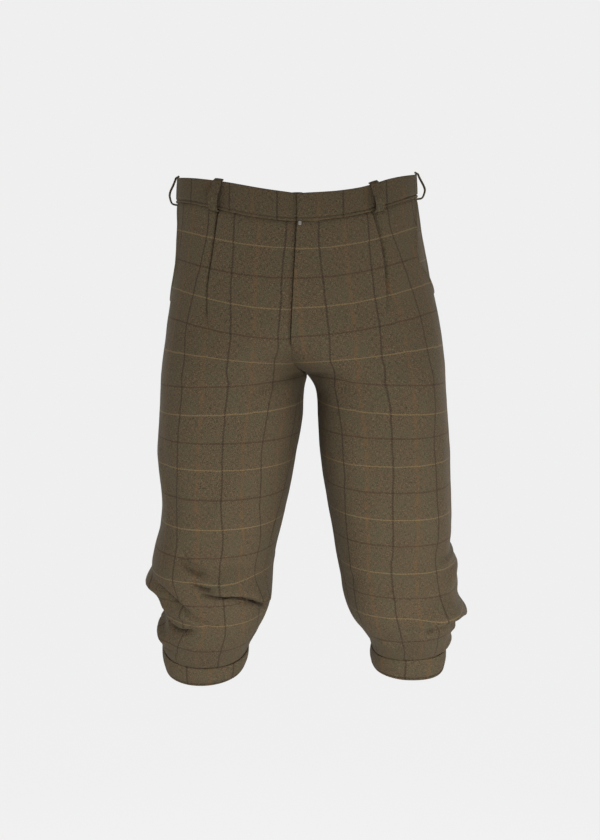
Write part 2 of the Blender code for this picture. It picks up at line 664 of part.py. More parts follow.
def zip_slider():
    """The slider's face, which shows over the left front's edge just under the waistband."""
    width, thick, height = SLIDER_SIZE
    top = SECTIONS["left"][0].down + SLIDER_BELOW_SEAM
    ends = form("left", "front", np.full(2, SLIDER_ACROSS), np.array([top, top + height]))
    middle = ends.mean(0)
    lean = math.atan2(ends[0, 1] - ends[1, 1], height)
    mesh = bmesh.new()
    bmesh.ops.create_cube(mesh, size=1)
    bmesh.ops.scale(mesh, vec=[size * MM for size in SLIDER_SIZE], verts=mesh.verts)
    bmesh.ops.bevel(mesh, geom=mesh.edges[:], offset=SLIDER_ROUND * MM, segments=2, affect="EDGES")
    data = bpy.data.meshes.new("zip_slider")
    mesh.to_mesh(data)
    mesh.free()
    data.shade_smooth()
    data.materials.append(finish("zip_slider", METAL, 0.35, 1.0))
    made = bpy.data.objects.new("zip_slider", data)
    clear = CLOTH / 2 + 2 * SEAM_GAP + thick / 2
    made.location = (middle[0] * MM, (middle[1] - clear) * MM, middle[2] * MM)
    made.rotation_euler.x = -lean
    bpy.context.collection.objects.link(made)


def build():
    for thing in list(bpy.data.objects):
        bpy.data.objects.remove(thing)
    points, normals = cloth_grids()
    for side in SIDES:
        front_panel(side, points[side, "front"], normals[side, "front"], points["left", "front"])
        back_panel(side, points[side, "back"], normals[side, "back"])
        pocket_bearer(side)
        waistband(side)
        knee_band(side)
    for loop in LOOPS:
        belt_loop(loop)
    zip_slider()


build()
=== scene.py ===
"""Knee breeches in a tweed window check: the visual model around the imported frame.

Lengths in the tables are millimetres. side is the wearer's: the right leg is at -X. face is front or back.
across runs from 0 at the side seam to 1 at the centre seam, or at the inseam below the fork. down is the
depth of a level below the origin, taken at the side seam.
"""

import math
from collections import namedtuple

import bpy
import numpy as np
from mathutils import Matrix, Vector, noise


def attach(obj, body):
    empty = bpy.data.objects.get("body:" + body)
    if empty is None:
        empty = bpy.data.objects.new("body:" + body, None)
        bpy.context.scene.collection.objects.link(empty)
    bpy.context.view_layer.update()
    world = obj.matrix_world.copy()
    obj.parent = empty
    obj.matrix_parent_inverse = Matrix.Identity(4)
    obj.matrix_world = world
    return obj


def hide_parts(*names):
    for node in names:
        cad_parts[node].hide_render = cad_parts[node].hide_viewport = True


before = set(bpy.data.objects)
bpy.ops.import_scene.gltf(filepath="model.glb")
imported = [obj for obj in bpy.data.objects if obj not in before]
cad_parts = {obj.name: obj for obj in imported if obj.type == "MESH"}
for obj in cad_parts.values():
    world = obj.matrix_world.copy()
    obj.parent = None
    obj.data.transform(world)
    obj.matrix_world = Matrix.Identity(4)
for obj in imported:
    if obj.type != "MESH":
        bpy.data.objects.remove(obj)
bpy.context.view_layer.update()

MM = 0.001
CLOTH = 1.2  # thickness of the tweed
BAND_CLOTH = 2.8  # the doubled waistband and knee bands
LOOP_CLOTH = 2.4  # thickness of a belt loop
TINY = 1e-6  # a cross product under this gives no direction
SIDES = {"right": -1, "left": 1}
FACES = {"front": -1, "back": 1}


def table(kind, *rows):
    return [kind(*row) for row in rows]


# The garment's form, as in the CAD model: a row for each section of a half. out, inner: x of the side seam
# and of the inner end. front, back: y of the foremost and rearmost points. low_front, low_back: depth of
# their inner ends. fork: 0 for a hip section, 1 for a leg. drop: how far a leg's front lies below its sides
# and its back above them. turn: degrees from its innermost line to the inseam. wedge: how pointed it is
# where the legs part. lift: how far a hip section's quarters are raised.
COLUMNS = "down out inner front back low_front low_back fork drop turn wedge lift"
Section = namedtuple("Section", COLUMNS, defaults=(0, 0, 0, 0))
SECTIONS = {}
SECTIONS["right"] = table(
    Section,
    (42, -167, -0.5, -117, 124, 73, 62, 0, 0, 0, 0, 4.5),
    (95, -168.5, -3, -124, 139, 125, 113, 0),
    (150, -173, -6, -129, 148, 182, 167, 0.02, 0, 0),
    (207, -180, -7.5, -136, 153, 236, 222, 0.14, 0, 0),
    (240, -184.5, -6, -136, 152, 260, 250, 0.38, 1, 0, 0.1),
    (265, -188, 4, -129, 142, 272, 266, 0.68, 3, 3, 0.3),
    (286, -190, 12.5, -119, 128, 278, 278, 1, 6, 7, 0.4),
    (310, -191, 9.5, -118, 123, 297, 297, 1, 8, 14, 0.2),
    (345, -192.5, 7, -118, 118, 338, 338, 1, 10, 22),
    (384, -195, 0, -117, 113, 380, 380, 1, 12, 29),
    (420, -192, -6.5, -116, 109, 415, 415, 1, 12, 31),
    (455, -188.5, -13.5, -115, 106, 449, 449, 1, 12, 32),
    (490, -192, -21, -114, 101, 483, 483, 1, 13, 32),
    (520, -199.5, -28.5, -115, 97, 513, 513, 1, 14, 32),
    (548, -202, -33.5, -118, 95, 541, 541, 1, 15, 31),
    (568, -194, -35, -119, 95, 562, 562, 1, 16, 28),
    (588, -187.5, -37, -116, 93, 585, 585, 1, 17, 27),
    (610, -182.5, -44, -106, 91, 609, 609, 1, 18, 24),
    (632, -190.5, -56, -88, 89, 634, 634, 1, 19, 18),
    (650, -193, -65, -66, 84, 652, 652, 1, 20, 15),
    (664, -190.5, -70, -50, 76, 666, 666, 1, 21, 14),
)
SECTIONS["left"] = table(
    Section,
    (34, 166, 0, -117, 124, 73, 62, 0),
    (88, 174.5, -3, -124, 139, 125, 113, 0),
    (145, 185.5, -6, -129, 148, 182, 167, 0.02, 0, 0),
    (203, 197, -7.5, -136, 153, 236, 222, 0.14, 0, 0),
    (238, 202, -6, -136, 152, 260, 250, 0.38, 1, 0, 0.1),
    (264, 205, 4, -129, 142, 272, 266, 0.68, 3, 0, 0.3),
    (287, 206.5, 13, -119, 128, 278, 278, 1, 6, 0, 0.4),
    (310, 208, 25, -118, 123, 297, 297, 1, 8, 0, 0.2),
    (345, 210, 29.5, -118, 118, 338, 338, 1, 10, 0),
    (384, 212.4, 31.5, -117, 113, 380, 380, 1, 12, 2),
    (420, 213.5, 35.5, -116, 109, 415, 415, 1, 12, 6),
    (455, 215, 42, -115, 106, 449, 449, 1, 12, 10),
    (490, 215, 48, -114, 101, 484, 484, 1, 12, 14),
    (518, 213, 52.5, -115, 97, 513, 513, 1, 12, 18),
    (542, 219.5, 57, -118, 95, 538, 538, 1, 12, 20),
    (564, 223.5, 61.5, -120, 95, 561, 561, 1, 12, 22),
    (586, 222.5, 65.5, -117, 94, 586, 586, 1, 12, 24),
    (608, 224, 74, -108, 92, 610, 610, 1, 12, 24),
    (630, 218, 90, -88, 90, 632, 632, 1, 11, 20),
    (650, 214.5, 102, -64, 84, 652, 652, 1, 9, 16),
    (666, 210, 106, -46, 76, 668, 668, 1, 8, 14),
)
# The hem of each knee band, as a leg section. low_out, low_in: its depth at the side and the inseam.
Hem = namedtuple("Hem", "out inner front back low_out low_in drop")
HEMS = {
    "right": Hem(-187.5, -75, -38, 82, 691, 688, 23),
    "left": Hem(208, 107.5, -32, 82, 695, 691, 13),
}
Top = namedtuple("Top", "across z")
BAND_TOP = {  # the top edge of the waistband at the front, from the side to the centre
    "right": table(Top, (0, -7), (0.43, -14.5), (0.61, -20.5), (0.84, -31), (1, -37)),
    "left": table(Top, (0, -1.5), (0.46, -15), (0.67, -28.5), (0.77, -32.5), (1, -37)),
}
BAND_TOP_BACK = -21.0  # its height at the centre back
BAND_TOP_CURVE = 2.3  # over 1 makes it fall later
BAND_TOP_IN = 1.5  # how much further in it lies than its seam
SQUARE = 0.26  # flattens the front and back of a leg
HIP_WIDTH = 235.0  # the width of a panel that one unit of across stands for at the waist
HALF_GIRTH = 270.0  # the same at the knee

Pleat = namedtuple("Pleat", "down across depth")
PLEATS = {
    "right": table(Pleat, (42, 0.575, 16), (95, 0.545, 12), (150, 0.525, 7), (207, 0.545, 0)),
    "left": table(Pleat, (34, 0.595, 16), (88, 0.55, 11), (145, 0.55, 5), (174, 0.555, 0)),
}
LAYER = 2.2  # height between the layers of a pleat
PLEAT_EASE = 13.0  # width over which the outer part rises again from under the fold
PLEAT_GROOVE = 4.2  # how far it dips more right beside the fold
GROOVE_AT = 3.2  # its distance from the fold
GROOVE_REACH = 4.4

Mouth = namedtuple("Mouth", "down across")
MOUTHS = {
    "right": table(Mouth, (42, 0.13), (95, 0.17), (150, 0.1), (178, 0)),
    "left": table(Mouth, (34, 0.14), (88, 0.24), (118, 0.27), (145, 0.12), (168, 0)),
}
MOUTH_LIP = 1.6  # how far the edge of the pocket mouth stands up
MOUTH_LIP_REACH = 7.0
BEARER_UNDERLAP = 0.06  # how far across the bearer runs on behind the front
BEARER_BELOW = 4.0
BEARER_DEPTH = 3.6  # how far it lies behind the front
BEARER_NEAR = 1.2  # the same at the side seam and under the waistband
BEARER_SIDE = 10.0  # width over which it comes forward there
BEARER_TOP = 12.0
BEARER_ROWS = 56
BEARER_COLUMNS = 15
BEARER_WARP = 120.0  # from the side seam to the leg's middle dark thread

FOLD_WANDER = 0.03  # share of its length by which a fold strays
FOLD_FADE = 0.33  # share of its length over which each end fades
FOLD_START = 0.08  # how far it has faded in at its very end
FOLD_UNEVEN = 0.2  # how much its height changes
FOLD_BEAT = 17.0  # how quickly that height changes
# Each fold is a ridge between two places on a panel, or a trough where rise is negative. bow: how far its
# middle hangs below the straight line. above, below: reach of its two slopes. sag: how far the ridge hangs
# down over what lies below it. tuck: how deep the cloth is drawn in under it. The knee's folds come first,
# then those from the fork and down the thigh.
Fold = namedtuple("Fold", "across_a down_a across_b down_b bow rise above below sag tuck", defaults=(0, 0))
FOLDS = {}
FOLDS["right", "front"] = table(
    Fold,
    (-0.26, 557, 0.25, 569, 0, 14, 18, 19, 2),
    (0.1, 572, 0.54, 600, 0, 6, 12, 10, 2),
    (-0.1, 589, 0.47, 604, 0, 2, 9, 7, 3, 17),
    (0.08, 545, 0.6, 596, 3, -10, 5, 9, 1),
    (0.35, 502, 0.6, 536, 0, -8, 9, 12, 2),
    (0.47, 540, 0.65, 549, 0, -6, 4, 6, 1),
    (0.5, 545, 1.1, 583, 0, 9, 28, 6, 6, 12),
    (0.72, 561, 1.04, 581, 0, 3, 8, 4, 2, 5),
    (-0.14, 620, 0.26, 634, 0, 7, 8, 18, 2, 2),
    (0.04, 638, 0.52, 650, 0, -3, 5, 6, 1),
    (0.6, 520, 0.95, 528, 0, -2.5, 12, 12),
    (0.99, 268, 0.6, 305, 0, -3, 16, 16),
    (0.72, 360, 0.55, 500, 0, 2.5, 26, 26),
    (0.18, 330, 0.3, 500, 0, -2, 24, 24),
)
FOLDS["right", "back"] = table(
    Fold,
    (0.05, 552, 0.46, 538, 3, 9, 24, 11, 6, 5),
    (0.35, 520, 0.86, 545, -2, 7, 18, 10, 4, 4),
    (0.15, 606, 0.84, 592, 4, 9, 20, 9, 6, 5),
    (0.1, 575, 0.55, 585, 0, -5, 9, 9, 2),
    (0.35, 480, 0.8, 498, 0, -4, 12, 14, 1),
    (0.97, 262, 0.45, 312, 0, -5, 16, 18, 2),
    (0.9, 300, 0.3, 352, 0, -3, 18, 20, 1),
    (0.55, 340, 0.5, 500, 0, 3, 30, 30),
)
FOLDS["left", "front"] = table(
    Fold,
    (-0.16, 534, 0.34, 552, 0, 5, 18, 17, 2),
    (-0.04, 512, 0.3, 530, 0, 5, 4, 14, 2),
    (-0.13, 629, 0.57, 618, -32, 15.5, 32, 14, 3, 9),
    (0.2, 603, 0.49, 615, -4, -15, 3, 12),
    (0.46, 606, 0.62, 608, 0, -3.5, 4, 5, 1),
    (0.62, 633, 0.86, 638, 0, 3, 7, 4, 2, 4),
    (0.6, 560, 1.00, 545, 0, -2.5, 12, 12),
    (-0.16, 621, 0.16, 625, 0, 8, 12, 20),
    (-0.14, 653, 0.24, 658, 0, 4, 14, 14),
    (0.99, 268, 0.58, 300, 0, -3, 14, 18),
    (0.7, 340, 0.58, 480, 0, 2.5, 26, 26),
    (0.22, 320, 0.3, 470, 0, -2, 24, 24),
)
FOLDS["left", "back"] = table(
    Fold,
    (0.04, 596, 0.46, 580, 3, 10, 24, 10, 6, 5),
    (0.2, 550, 0.84, 564, -3, 8, 20, 10, 5, 4),
    (0.3, 614, 0.84, 606, 2, 6, 14, 9, 4, 4),
    (0.15, 520, 0.6, 532, 0, -4, 12, 12, 1),
    (0.97, 262, 0.42, 306, 0, -5, 15, 18, 2),
    (0.88, 296, 0.34, 348, 0, -3, 18, 20, 1),
    (0.5, 330, 0.55, 490, 0, 3, 30, 30),
)

# Places of the dark threads along the leg on the fronts: three of them, a check apart.
Warp = namedtuple("Warp", "down outer middle inner")
WARPS = {}
WARPS["right"] = table(
    Warp,
    (65, 0.5, 0.67, 0.95), (105, 0.465, 0.67, 0.94), (150, 0.42, 0.67, 0.94), (190, 0.38, 0.675, 0.93),
    (216, 0.355, 0.655, 0.92), (238, 0.345, 0.62, 0.88), (258, 0.325, 0.57, 0.83),
    (281, 0.29, 0.515, 0.765), (307, 0.3, 0.53, 0.76), (345, 0.307, 0.553, 0.758),
    (396, 0.33, 0.595, 0.808), (450, 0.303, 0.605, 0.843), (500, 0.346, 0.649, 0.897),
    (555, 0.368, 0.667, 0.914), (600, 0.354, 0.663, 0.941), (655, 0.32, 0.66, 0.95),
)
WARPS["left"] = table(
    Warp,
    (60, 0.48, 0.62, 0.89), (108, 0.42, 0.62, 0.87), (150, 0.37, 0.61, 0.85), (192, 0.33, 0.59, 0.83),
    (218, 0.305, 0.57, 0.81), (240, 0.28, 0.545, 0.79), (258, 0.26, 0.515, 0.77),
    (281, 0.225, 0.48, 0.755), (308, 0.23, 0.48, 0.765), (346, 0.24, 0.48, 0.73),
    (397, 0.25, 0.49, 0.74), (450, 0.26, 0.53, 0.8), (498, 0.28, 0.56, 0.85), (550, 0.33, 0.62, 0.9),
    (600, 0.34, 0.63, 0.92), (662, 0.32, 0.61, 0.9),
)
# Depths at which the threads across the leg lie: dark, ochre, dark and so on, from the waist down.
WEFTS = {
    "right": (38, 79, 118, 158, 199, 244, 290, 326, 360, 394, 435, 475, 512, 543, 573, 598, 634, 670),
    "left": (32, 73, 112, 151, 190, 238, 288, 325, 354, 389, 425, 462, 497, 533, 565, 591, 628, 667),
}
CHECK_ACROSS = 67.0  # width of one check
CHECK_DOWN = 80.0  # height of one check

ROW_STEP = 2.8  # height of a panel's mesh rows
OUTER_COLUMNS = 52  # of a front, from the side seam to the pleat's fold
UNDER_COLUMNS = 4  # each of the two layers in the pleat
TURN_COLUMNS = 4  # each of its two turns
INNER_COLUMNS = 44  # from the fold to the centre
BACK_COLUMNS = 100
NORMAL_COLUMNS = 60  # where the plain form's normals are taken
GRAIN_FROM = 330.0  # below it a back's grain keeps to the leg's middle
GRAIN_REACH = 80  # columns of a back that may meet the grain line
FLY_END = 212.0
LAP = 1.6  # how far the left front rises at the fly
LAP_UNDER = 0.8  # how far the right front sinks under it
LAP_REACH = 18.0
LAP_FADE = 12.0  # length over which the lap ends
LAP_GROOVE = 3.2  # how far the right front dips beside the left one's edge
LAP_GROOVE_REACH = 4.5
SEAM_WIDTH = 20.0  # beyond it the cloth lies plain
TUCK_LENGTH = 5.0  # how far the panels run on behind the bands
TUCK_DEPTH = 1.2  # how far in they lie there

# Hollows beside the seams.
Hollow = namedtuple("Hollow", "depth reach")
SEAM = Hollow(2.0, 4.0)
CENTRE_SEAM = Hollow(0.35, 5.0)
WAIST_SEAM = Hollow(2.8, 6.0)
KNEE_SEAM = Hollow(1.8, 7.0)
HOLLOW_FADE = 2.2  # how quickly a hollow ends

# Slight unevenness of the pieces.
Waves = namedtuple("Waves", "height size seed")
BROAD_WAVES = Waves(0.9, 60, 3)
SMALL_WAVES = Waves(0.45, 21, 11)
BAND_WAVES = Waves(0.35, 34, 5)
CUFF_WAVES = Waves(0.6, 30, 8)
LOOP_WAVES = Waves(0.3, 9, 4)


def unit(vectors):
    return vectors / np.linalg.norm(vectors, axis=-1, keepdims=True)


def through(knots, values, at):
    """A smooth curve through a table's values, read at the given places."""
    knots = np.asarray(knots, float)
    values = np.asarray(values, float)
    slopes = np.gradient(values, knots)
    at = np.clip(np.asarray(at, float), knots[0], knots[-1])
    low = np.clip(np.searchsorted(knots, at, side="right") - 1, 0, len(knots) - 2)
    span = knots[low + 1] - knots[low]
    u = (at - knots[low]) / span
    start = (1 + 2 * u) * (1 - u) ** 2 * values[low] + u * (1 - u) ** 2 * span * slopes[low]
    end = u * u * (3 - 2 * u) * values[low + 1] - u * u * (1 - u) * span * slopes[low + 1]
    return start + end


def column(rows, name):
    return [getattr(row, name) for row in rows]


def read(rows, name, at):
    return through(column(rows, "down"), column(rows, name), at)


def hip_oval(s, face, across, down):
    quarter = across * math.pi / 2
    x = s["inner"] + (s["out"] - s["inner"]) * np.cos(quarter)
    y = s[face] * np.sin(quarter)
    lift = s["lift"] * np.sin(2 * quarter) ** 2
    z = -down - (s["low_" + face] - down) * np.sin(quarter) ** 2 + lift
    return np.stack((x, y, z), -1)


def leg_oval(s, face, across, down):
    way = FACES[face]
    angle = across * (math.pi + way * np.radians(s["turn"]))
    past = np.clip(angle / (math.pi / 2) - 1, 0, 2)
    straight = np.where(past > 0, -np.minimum(past, 2 - past), np.cos(angle))
    swing = (1 - s["wedge"]) * np.cos(angle) + s["wedge"] * straight
    middle_y = (s["front"] + s["back"]) / 2
    x = (s["out"] + s["inner"]) / 2 + (s["out"] - s["inner"]) / 2 * swing
    y = middle_y + (s[face] - middle_y) * np.sin(angle) * (1 + SQUARE * np.cos(angle) ** 2)
    cross_fall = (s["low_" + face] - down) * (1 - np.cos(angle)) / 2
    z = -down - cross_fall + way * s["drop"] * np.sin(angle)
    return np.stack((x, y, z), -1)


def form(side, face, across, down):
    """Points on the middle of the cloth. across and down are arrays of one shape."""
    rows = SECTIONS[side]
    s = {name: read(rows, name, down) for name in Section._fields}
    share = np.clip(s["fork"], 0, 1)[..., None]
    return hip_oval(s, face, across, down) * (1 - share) + leg_oval(s, face, across, down) * share


def slope(offset, reach):
    """1 at the middle, falling smoothly to 0 at the given reach."""
    return np.where(offset < reach, 0.5 + 0.5 * np.cos(math.pi * np.minimum(offset / reach, 1)), 0)


def fold_places(fold, across):
    """across as counted on the other face, past the side seam or the inseam, whichever is nearer."""
    middle = (fold.across_a + fold.across_b) / 2
    return np.where(np.abs(-across - middle) < np.abs(2 - across - middle), -across, 2 - across)


def fold_shape(fold, place, down):
    """Shares of a fold's ridge, and of the hollow drawn in under it."""
    span_x = (fold.across_b - fold.across_a) * HALF_GIRTH
    span_y = fold.down_b - fold.down_a
    length = math.hypot(span_x, span_y)
    from_x = (place - fold.across_a) * HALF_GIRTH
    from_y = down - fold.down_a
    along = (from_x * span_x + from_y * span_y) / length
    over = (from_y * span_x - from_x * span_y) / length * math.copysign(1, span_x)
    over = over - fold.bow * np.sin(np.clip(along / length, 0, 1) * math.pi)
    over = over + FOLD_WANDER * length * np.sin(along / length * 2 * math.pi + fold.down_b)
    ends = np.clip(np.minimum(along, length - along) / (FOLD_FADE * length) + FOLD_START, 0, 1)
    ends = ends * ends * (3 - 2 * ends) * (1 + FOLD_UNEVEN * np.sin(along / FOLD_BEAT + fold.down_a))
    crest = slope(np.abs(over), np.where(over < 0, fold.above, fold.below))
    hollow = slope(np.abs(over - fold.below), fold.below)
    return crest * ends, hollow * ends


def fold_shift(side, face, across, down):
    """How far the folds lift the cloth from the form, and how far they drop it."""
    rise = np.zeros_like(across)
    sag = np.zeros_like(across)
    for fold_face in FACES:
        for fold in FOLDS[side, fold_face]:
            place = across if fold_face == face else fold_places(fold, across)
            crest, hollow = fold_shape(fold, place, down)
            rise += fold.rise * crest - fold.tuck * hollow
            sag += fold.sag * crest
    return rise, sag


def ripple(points, waves):
    """Smooth uneven heights over a grid of points."""
    flat = points.reshape(-1, 3) / waves.size
    values = [noise.noise(Vector((x + waves.seed, y, z))) for x, y, z in flat]
    return waves.height * np.array(values).reshape(points.shape[:-1])


def facing(side, face, points, spare=0.0):
    """Unit normals out of the garment, for columns that run inwards. spare: those of shut places."""
    along = np.gradient(points, axis=1)
    down = np.gradient(points, axis=0)
    cross = np.cross(along, down) * (-SIDES[side] * FACES[face])
    size = np.linalg.norm(cross, axis=-1, keepdims=True)
    return np.where(size > TINY, cross / np.maximum(size, TINY), spare)


def cloth_rows(side):
    downs = column(SECTIONS[side], "down")
    count = round((downs[-1] - downs[0]) / ROW_STEP)
    return np.linspace(downs[0], downs[-1], count + 1)


def warp_map(side, places, down, intake, outer):
    """The distance along the weave from a front's middle dark thread. intake: the width in the pleat."""
    rows = WARPS[side]
    a, b, c = (read(rows, name, down) for name in ("outer", "middle", "inner"))
    rate = (CHECK_ACROSS - intake) / (b - a)
    near = np.where(outer, -CHECK_ACROSS + (places - a) * rate, (places - b) * rate)
    beyond = -CHECK_ACROSS + (places - a) * HALF_GIRTH
    inward = (places - b) * CHECK_ACROSS / (c - b)
    return np.where(places > b, inward, np.where(places < a, beyond, near))


def weft_map(side, downs):
    lines = WEFTS[side]
    return through(lines, np.arange(len(lines)) * CHECK_DOWN / 2, downs)


def pleat_at(side, downs):
    """For each row: where the fold lies, how far it runs in underneath, and how open it is."""
    rows = PLEATS[side]
    depth = np.clip(read(rows, "depth", downs), 0, None)
    depth[downs >= rows[-1].down] = 0
    return read(rows, "across", downs), depth, np.sqrt(depth / rows[0].depth)


def mouth_at(side, downs):
    return np.clip(read(MOUTHS[side], "across", downs), 0, None)


def groove(distance):
    """A narrow dip beside the pleat's fold, which leaves the fold itself nearly in place."""
    return slope(np.abs(distance - GROOVE_AT), GROOVE_REACH)


def front_paths(side, downs):
    """For each row of a front: place across, height over the form, distance along the weave."""
    fold, depth, opening = pleat_at(side, downs)
    mouth = mouth_at(side, downs)
    turn = np.linspace(0, math.pi, TURN_COLUMNS + 2)[1:-1]
    places, heights, weave = [], [], []
    for down, edge, at, run, scale in zip(downs, mouth, fold, depth, opening):
        far = run / HIP_WIDTH
        outer = np.linspace(edge, at, OUTER_COLUMNS + 1)
        under = np.linspace(at, at + far, UNDER_COLUMNS + 1)[1:]
        layer = LAYER * scale
        beside = (at - outer) * HIP_WIDTH
        low = -2 * layer * slope(beside, PLEAT_EASE) - PLEAT_GROOVE * scale * groove(beside)
        bulge = layer / 2 / HIP_WIDTH
        turn_in = at + far + bulge * np.sin(turn)
        back = np.linspace(at + far, at, UNDER_COLUMNS + 1)
        turn_out = at - bulge * np.sin(turn)
        inner = np.linspace(at, 1, INNER_COLUMNS + 1)
        row = np.concatenate((outer, under, turn_in, back, turn_out, inner))
        turn_low = -1.5 * layer - layer / 2 * np.cos(turn)
        turn_high = -0.5 * layer - layer / 2 * np.cos(turn)
        height = np.concatenate((low, np.full(UNDER_COLUMNS, -2 * layer), turn_low,
                                 np.full(UNDER_COLUMNS + 1, -layer), turn_high, np.zeros(INNER_COLUMNS + 1)))
        first = warp_map(side, outer, down, 2 * run, True)
        last = warp_map(side, inner, down, 2 * run, False)
        hidden = len(row) - len(first) - len(last)
        between = np.linspace(first[-1], last[0], hidden + 2)[1:-1]
        places.append(row)
        heights.append(height)
        weave.append(np.concatenate((first, between, last)))
    return np.array(places), np.array(heights), np.array(weave)


def pleat_columns():
    """The first and the last of a front's columns that fall together where the pleat is shut."""
    return OUTER_COLUMNS, OUTER_COLUMNS + 2 * UNDER_COLUMNS + 2 * TURN_COLUMNS + 2


def lay_cloth(side, face, places, downs, heights):
    """Puts a panel's cloth on the form, with its folds and its slight unevenness."""
    base = form(side, face, places, downs)
    plain = np.linspace(0, 1, NORMAL_COLUMNS)
    levels = downs[:, 0]
    smooth = form(side, face, *np.broadcast_arrays(plain, levels[:, None]))
    normals = facing(side, face, smooth)
    spread = np.empty_like(base)
    for i in range(len(levels)):
        for axis in range(3):
            spread[i, :, axis] = np.interp(places[i], plain, normals[i, :, axis])
    spread = unit(spread)
    rise, sag = fold_shift(side, face, places, downs)
    uneven = ripple(base, BROAD_WAVES) + ripple(base, SMALL_WAVES)
    points = base + spread * (rise + heights + uneven)[..., None]
    points[..., 2] -= sag
    return points, spread


def seam_dip(distance, hollow):
    """How far the cloth is drawn in towards a seam, by the distance from it."""
    return -hollow.depth * np.exp(-distance / hollow.reach * HOLLOW_FADE)


def side_dip(distance, hollow=SEAM):
    """The same for a seam along the leg, whose hollow ends within a set width."""
    return np.where(distance < SEAM_WIDTH, seam_dip(distance, hollow), 0)


def band_dip(side, levels):
    """How far the panels are drawn in under the waistband and the knee band."""
    rows = SECTIONS[side]
    return seam_dip(levels - rows[0].down, WAIST_SEAM) + seam_dip(rows[-1].down - levels, KNEE_SEAM)


def sheet_mesh(name, middle, normals, weave, material, shut=None, ends=(0, 0)):
    """A closed thin shell about a grid of points. shut: rows whose columns ends[0] to ends[1] are one."""
    count = middle.shape[0] * middle.shape[1]
    index = np.arange(count).reshape(middle.shape[:2])
    if shut is not None:
        index[shut, ends[0] + 1 : ends[1] + 1] = index[shut, ends[0]][:, None]
    outer = (middle + normals * CLOTH / 2).reshape(-1, 3)
    inner = (middle - normals * CLOTH / 2).reshape(-1, 3)
    faces = []
    for i in range(index.shape[0] - 1):
        for j in range(index.shape[1] - 1):
            corners = (index[i, j], index[i, j + 1], index[i + 1, j + 1], index[i + 1, j])
            corners = list(dict.fromkeys(int(c) for c in corners))
            if len(corners) > 2:
                faces.append(corners)
                faces.append([c + count for c in reversed(corners)])
    rims = [index[0], index[:, -1], index[-1][::-1], index[:, 0][::-1]]
    for line in rims:
        for a, b in zip(line, line[1:]):
            if a != b:
                faces.append([int(b), int(a), int(a) + count, int(b) + count])
    weave = weave.reshape(-1, 2)
    return solid_mesh(name, np.concatenate((outer, inner)), faces, np.concatenate((weave, weave)), material)


SHARP = 60  # degrees over which an edge is shown sharp


def solid_mesh(name, points, faces, weave, material):
    used = np.unique(np.concatenate([np.asarray(face) for face in faces]))
    place = np.full(len(points), -1)
    place[used] = np.arange(len(used))
    data = bpy.data.meshes.new(name)
    data.from_pydata((points[used] * MM).tolist(), [], [place[face].tolist() for face in faces])
    corner = np.empty(len(data.loops), np.int32)
    data.loops.foreach_get("vertex_index", corner)
    layer = data.uv_layers.new(name="Weave")
    layer.data.foreach_set("uv", (weave[used][corner] * MM).astype(np.float32).ravel())
    if signed_volume(points[used], data) < 0:
        data.flip_normals()
    data.shade_smooth()
    data.set_sharp_from_angle(angle=math.radians(SHARP))
    data.materials.append(material)
    made = bpy.data.objects.new(name, data)
    bpy.context.collection.objects.link(made)
    return made


def signed_volume(points, data):
    """Under 0 where the faces look inwards."""
    data.calc_loop_triangles()
    corners = np.empty(len(data.loop_triangles) * 3, np.int32)
    data.loop_triangles.foreach_get("vertices", corners)
    a, b, c = (points[corners.reshape(-1, 3)[:, k]] for k in range(3))
    return float(np.sum(a * np.cross(b, c)))


def tucked_rows(points, normals, weave):
    """Adds a row at the top and one at the bottom that run on behind the bands."""
    rise = np.array((0, 0, TUCK_LENGTH))
    top = points[:1] + rise - normals[:1] * TUCK_DEPTH
    bottom = points[-1:] - rise - normals[-1:] * TUCK_DEPTH
    grown = np.concatenate((top, points, bottom))
    facings = np.concatenate((normals[:1], normals, normals[-1:]))
    shift = np.array((0, TUCK_LENGTH))
    return grown, facings, np.concatenate((weave[:1] - shift, weave, weave[-1:] + shift))


def lap_relief(side, to_centre, lap):
    """How the fly lifts the left front and sinks the right one. lap: 1 beside it, 0 below it."""
    if side == "left":
        return LAP * slope(to_centre, LAP_REACH) * lap
    return -(LAP_UNDER * slope(to_centre, LAP_REACH) + LAP_GROOVE * slope(to_centre, LAP_GROOVE_REACH)) * lap


def front_relief(side, places, levels, mouth):
    """Heights of what seams, fly and pocket do to a front."""
    to_side = places * HIP_WIDTH
    to_centre = (1 - places) * HIP_WIDTH
    closed = mouth <= 0
    lap = np.clip((FLY_END - levels) / LAP_FADE, 0, 1)
    relief = side_dip(to_side) * closed + lap_relief(side, to_centre, lap)
    relief = relief + side_dip(to_centre, CENTRE_SEAM) * (1 - lap)
    relief = relief + MOUTH_LIP * slope((places - mouth) * HIP_WIDTH, MOUTH_LIP_REACH) * ~closed
    return relief + band_dip(side, levels)


def join_pleat(side, points, normals, shut):
    """One normal for the columns that fall together where the pleat is shut."""
    first, last = pleat_columns()
    ahead = points[:, last + 1] - points[:, first - 1]
    fall = np.gradient(points[:, first], axis=0)
    whole = unit(np.cross(ahead, fall) * SIDES[side])
    normals[shut, first : last + 1] = whole[shut][:, None]


def front_panel(side, material):
    downs = cloth_rows(side)
    places, heights, across = front_paths(side, downs)
    levels = np.broadcast_to(downs[:, None], places.shape)
    heights = heights + front_relief(side, places, levels, mouth_at(side, downs)[:, None])
    points, spread = lay_cloth(side, "front", places, levels, heights)
    normals = facing(side, "front", points, spread)
    shut = pleat_at(side, downs)[1] == 0
    join_pleat(side, points, normals, shut)
    down = np.broadcast_to(weft_map(side, downs)[:, None], places.shape)
    points, normals, weave = tucked_rows(points, normals, np.stack((across, down), -1))
    shut = np.concatenate((shut[:1], shut, shut[-1:]))
    name = "cloth_front_" + side
    return sheet_mesh(name, points, normals, weave, material, shut, pleat_columns())


